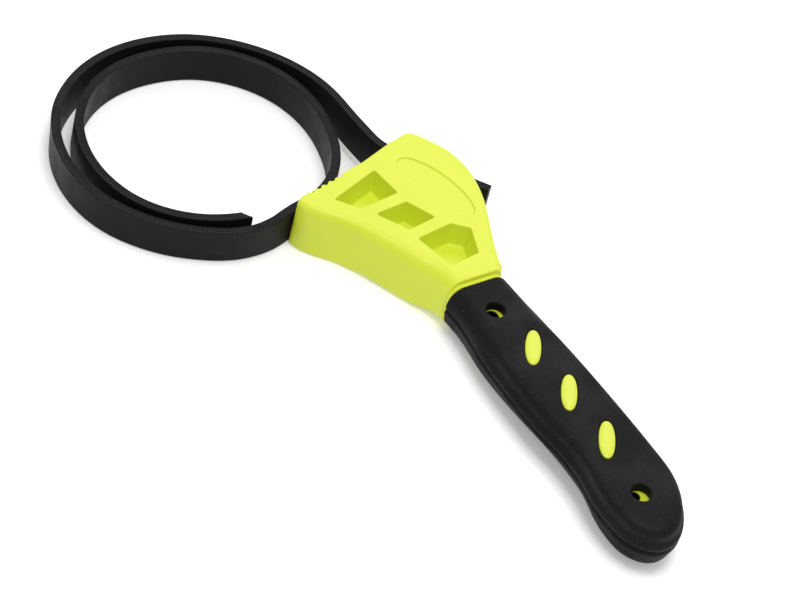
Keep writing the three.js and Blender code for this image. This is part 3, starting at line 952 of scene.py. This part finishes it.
def inlay(name, x, side):
    """An oval that stands on the shank and shows through its window, with a soft domed top."""
    shape = Shape()
    base = SHANK_T / 2 + GAP
    rim = GRIP_T / 2 - INLAY_SINK
    profile = [(base, 0), (base + 0.4, 0), (rim - 0.2, 0), (rim, 0)]
    for t in quarter(DOME_STEPS)[1:]:
        inset = DOME_INSET * (1 - math.cos(t)) ** DOME_POWER
        profile.append((rim + DOME_RISE * math.sin(t), inset))
    rings = []
    for up, inset in profile:
        size = INLAY_LONG - inset, INLAY_SHORT - inset
        points = ellipse(x, 0, *size, INLAY_ANGLE, INLAY_POINTS, INLAY_POWER)
        rings.append(shape.ring((p.x, p.y, MID + side * up) for p in points))
    shape.bands(rings)
    shape.cap(rings[0])
    shape.cap(rings[-1])
    return shape.build(name, LIME_INLAY)


# ---------------------------------------------------------------- strap

LOOP_CENTRE = Vector((-126.2, -53.7))
MOUTH_BEND = [Vector((-90.4, 5.9)), Vector((-94.4, 4.6))]
# Radius of the strap's centre line round the loop centre, at angles that keep growing.
TURN_RADII = [
    (64, 64.4),
    (69.5, 61.3),
    (76, 58.9),
    (84, 57.5),
    (97, 56.5),
    (115, 55.7),
    (150, 55.1),
    (175, 55),
    (200, 55.4),
    (220, 55.8),
    (240, 56.8),
    (265, 57.2),
    (290, 57.1),
    (311, 55.9),
    (330, 55.1),
    (346, 55.0),
    (360, 53.7),
    (373, 51.7),
    (386, 52.6),
    (403, 52.5),
    (417, 51.1),
    (432, 49.4),
    (450, 48.7),
    (480, 48.6),
    (510, 48.4),
    (540, 47.6),
    (570, 48.2),
    (595, 48.8),
    (620, 48.6),
    (640, 48.7),
    (662, 49.5),
    (685, 49.3),
    (706, 48.6),
    (716, 48.3),
]
SAG = (58, 146)  # between these angles the strap comes down from the slot to the ground
# How far the strap's upper edge leans outwards at an angle.
LEAN = [
    (120, 0),
    (160, 0.6),
    (215, 0.6),
    (250, 0),
    (300, 0),
    (340, 1.2),
    (352, 1.2),
    (366, 0),
    (560, 0),
    (595, -0.9),
    (620, -0.4),
    (640, 0),
]
LOOP_START = 70
LEAD_ANGLES = (64, LOOP_START, 76)  # where the lead meets the loop
LEAD_STEP = 1.0
LEAD_DEGREES = 0.1  # between the lead's stations, only to count them
TAIL_END = 711
TAIL_SLANT = 1.0  # of the cut across the strap's end
SLANT_LENGTH = 7  # over which the sections turn to that slant
TURN_STEP = 1.5
STRAP_EDGE = 0.3  # radius of the section's corners
LIP_WIDTH = 0.12
LIP_DEPTH = 0.14
LIP_SLOPE = 0.2


def turn_radius(angle):
    """The loop's radius at an angle, on a smooth curve through the table's."""
    k = 1
    while k < len(TURN_RADII) - 2 and TURN_RADII[k][0] < angle:
        k += 1
    (a0, r0), (a1, r1) = TURN_RADII[k - 1], TURN_RADII[k]

    def slope(i):
        (al, rl), (ar, rr) = (
            TURN_RADII[max(0, i - 1)],
            TURN_RADII[min(len(TURN_RADII) - 1, i + 1)],
        )
        return (rr - rl) / (ar - al)

    w = a1 - a0
    t = (angle - a0) / w
    return (
        r0 * (1 + 2 * t) * (1 - t) ** 2
        + r1 * t * t * (3 - 2 * t)
        + w * (slope(k - 1) * t * (1 - t) ** 2 - slope(k) * t * t * (1 - t))
    )


def turn_point(angle):
    turn = math.radians(angle)
    spoke = Vector((math.cos(turn), math.sin(turn)))
    return LOOP_CENTRE + spoke * turn_radius(angle)


def lead_points():
    """The strap's centre line from its stub through the slot and the mouth to the loop's start."""
    slot = [SLOT_END.lerp(SLOT_MOUTH, k / 4) for k in range(5)]
    loop = [turn_point(a) for a in LEAD_ANGLES]
    points = spline([*slot, *MOUTH_BEND, *loop], LEAD_STEP)
    end = min(range(len(points)), key=lambda i: (points[i] - loop[1]).length)
    return points[: end + 1]


def strap_section():
    """Points round the strap's section: across, from the middle, and up from its lower edge.
    Each narrow edge is sunk a little between two fine lips."""
    h, w, r = STRAP_T / 2, STRAP_W, STRAP_EDGE
    section = []
    for cx, cy, start in (
        (h - r, r, -90),
        (h - r, w - r, 0),
        (r - h, w - r, 90),
        (r - h, r, 180),
    ):
        arc = [math.radians(start + 90 * k / 4) for k in range(5)]
        section += [Vector((cx + r * math.cos(t), cy + r * math.sin(t))) for t in arc]
        if start in (0, 180):
            side, edge = (1, w) if start == 0 else (-1, 0)
            sunk = edge - side * LIP_DEPTH
            near, far = h - r - LIP_WIDTH, h - r - LIP_WIDTH - LIP_SLOPE
            for across, up in ((near, edge), (far, sunk), (-far, sunk), (-near, edge)):
                section.append(Vector((side * across, up)))
        else:
            along_side = Vector((0, 1 if start == -90 else -1)) * SUPPORT
            section.append(section[-1] + along_side)
            far_end = w - r if start == -90 else r
            section.append(Vector((section[-1].x, far_end)) - along_side)
    return section


def strap_piece(name, poses, slant=0.0):
    """The strap through a stretch of poses, each a heading, centre, height and lean."""
    shape = Shape()
    section = strap_section()
    points = [point for _, point, _, _ in poses]
    lengths = [0.0]
    for a, b in zip(points, points[1:]):
        lengths.append(lengths[-1] + (b - a).length)
    rings = []
    for (heading, point, z, lean), length in zip(poses, lengths):
        left = lengths[-1] - length
        skew = slant * (1 - smoothstep(0, SLANT_LENGTH, left))
        outwards = Vector((heading.y, -heading.x))
        ring = []
        for s in section:
            across = s.x + lean * s.y / STRAP_W
            where = point + outwards * across + heading * (s.x * skew)
            ring.append((where.x, where.y, z + s.y))
        rings.append(shape.ring(ring))
    shape.bands(rings)
    shape.cap(rings[0])
    shape.cap(rings[-1])
    return shape.build(name, STRAP)


def strap_stations():
    """The whole centre line as (angle, point); the slot's stretch has angles below the loop's."""
    lead = lead_points()
    stations = []
    for i, p in enumerate(lead):
        stations.append((LOOP_START - (len(lead) - 1 - i) * LEAD_DEGREES, p))
    steps = round((TAIL_END - LOOP_START) / TURN_STEP)
    for k in range(1, steps + 1):
        angle = LOOP_START + (TAIL_END - LOOP_START) * k / steps
        stations.append((angle, turn_point(angle)))
    return stations


def sag_height(angle):
    return MOUTH_Z * (1 - smoothstep(*SAG, angle))


def height_at(point, angle):
    if angle > LOOP_START:
        return sag_height(angle)
    spoke = point - LOOP_CENTRE
    return sag_height(math.degrees(math.atan2(spoke.y, spoke.x)))


stations = strap_stations()
positions = [p for _, p in stations]
headings = []
for i in range(len(positions)):
    ahead = positions[min(i + 1, len(positions) - 1)]
    behind = positions[max(i - 1, 0)]
    headings.append((ahead - behind).normalized())
# A stretch's name, its first and last angle, the bodies it rides on, and the angles where its
# bend starts and ends. The first stretch's bend lies at the slot's mouth instead.
STRETCHES = [
    ("strap_head_bend", 0, 107, ("handle", "strap_run"), None),
    ("strap_outer_bend", 107, 190, ("strap_run", "strap_turns"), (134, 166)),
    ("strap_main_turns", 190, 560, ("strap_turns",), None),
    ("strap_inner_bend", 560, 618, ("strap_turns", "strap_lower"), (574, 598)),
    ("strap_tail_bend", 618, TAIL_END, ("strap_lower", "strap_end"), (634, 658)),
]
STANDS_FOR = {
    "strap_head_bend": ("strap_anchor", "strap_top_run"),
    "strap_outer_bend": ("strap_top_run", "strap_outer_turn"),
    "strap_main_turns": ("strap_outer_turn", "strap_inner_turn"),
    "strap_inner_bend": ("strap_inner_turn", "strap_inner_lower"),
    "strap_tail_bend": ("strap_inner_lower", "strap_tail"),
}
HEAD_BEND = (Vector((-88.6, 7.0)), Vector((-97.0, 3.9)))


def strap_pose(i):
    """The strap's heading, centre, height and lean at a station."""
    angle, point = stations[i]
    return headings[i], point, height_at(point, angle), along(LEAN, angle)


def nearest(angle):
    """The station nearest to an angle."""
    return min(range(len(stations)), key=lambda i: abs(stations[i][0] - angle))


for name, start, end, bodies, bend in STRETCHES:
    piece = strap_piece(
        name,
        [strap_pose(i) for i in range(nearest(start), nearest(end) + 1)],
        TAIL_SLANT if end == TAIL_END else 0.0,
    )
    if len(bodies) == 1:
        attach(piece, bodies[0])
    else:
        ends = [turn_point(a) for a in bend] if bend else HEAD_BEND
        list(bodies)
        place(*ends[0], MID)
        place(*ends[1], MID)
        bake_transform(piece)
    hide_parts(*STANDS_FOR[name])

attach(core, "handle")
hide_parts("handle_core")
for side, where in ((1, "upper"), (-1, "lower")):
    shell = grip_shell("grip_shell_" + where, side)
    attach(shell, "handle")
    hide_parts("grip_" + where)
    for i, x in enumerate(INLAY_X):
        oval = inlay(f"inlay_oval_{where}_{i + 1}", x, side)
        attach(oval, "handle")
        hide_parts(f"inlay_{where}_{i + 1}")


# ---------------------------------------------------------------- floor, light and camera

# From here on lengths are metres.
FLOOR_Z = -0.0003
FLOOR_HALF = 8
FLOOR_GLOW = 0.2  # a lit table: shadows stay pale
WORLD_STRENGTH = 0.65
LENS, SENSOR = 96.9, 36
CAMERA_POINT = (400.005, -401.904, 563.26)  # in the handle's frame, in millimetres
VIEW_FORWARD = (-0.5342, 0.4745, -0.6996)
VIEW_UP = (-0.6713, 0.2649, 0.6922)


def floor():
    n = Nodes("floor_pale")
    tone = n.mix(n.noise(3, 2), (0.9, 0.9, 0.9, 1), (0.93, 0.93, 0.93, 1))
    n.put(n.shader.inputs["Base Color"], tone)
    n.put(n.shader.inputs["Roughness"], n.remap(n.noise(40, 2), 0.3, 0.7, 0.75, 0.85))
    n.shader.inputs["Specular IOR Level"].default_value = 0.2
    n.shader.inputs["Emission Color"].default_value = (1, 1, 1, 1)
    n.shader.inputs["Emission Strength"].default_value = FLOOR_GLOW
    mesh = bpy.data.meshes.new("studio_floor")
    signs = ((-1, -1), (1, -1), (1, 1), (-1, 1))
    corners = [(x * FLOOR_HALF, y * FLOOR_HALF, FLOOR_Z) for x, y in signs]
    mesh.from_pydata(corners, [], [(0, 1, 2, 3)])
    mesh.materials.append(n.material)
    piece = bpy.data.objects.new("studio_floor", mesh)
    bpy.context.scene.collection.objects.link(piece)


def softbox(name, position, size, power):
    """A rectangular light that points at the part's origin."""
    data = bpy.data.lights.new(name, "AREA")
    data.shape = "RECTANGLE"
    data.size, data.size_y = size
    data.energy = power
    light = bpy.data.objects.new(name, data)
    light.location = position
    light.rotation_euler = (-Vector(position)).to_track_quat("-Z", "Y").to_euler()
    bpy.context.scene.collection.objects.link(light)


floor()
softbox("key_overhead", (0.08, 0.02, 1.2), (0.55, 0.55), 7.4)
softbox("gloss_back", (-0.75, 0.85, 0.95), (1.1, 0.7), 4.5)
world = bpy.data.worlds.new("studio")
world.use_nodes = True
background = world.node_tree.nodes["Background"]
background.inputs["Color"].default_value = (1, 1, 1, 1)
background.inputs["Strength"].default_value = WORLD_STRENGTH
bpy.context.scene.world = world
bpy.context.scene.view_settings.view_transform = "Standard"

camera_data = bpy.data.cameras.new("camera")
camera_data.lens = LENS
camera_data.sensor_width = SENSOR
camera_data.clip_start = 0.01
camera = bpy.data.objects.new("camera", camera_data)
forward = Vector(VIEW_FORWARD).normalized()
right = forward.cross(Vector(VIEW_UP)).normalized()
up = right.cross(forward)
turned = Matrix((right, up, -forward)).transposed().to_4x4()
camera.matrix_world = Matrix.Translation(place(*CAMERA_POINT)) @ turned
bpy.context.scene.collection.objects.link(camera)
bpy.context.scene.camera = camera
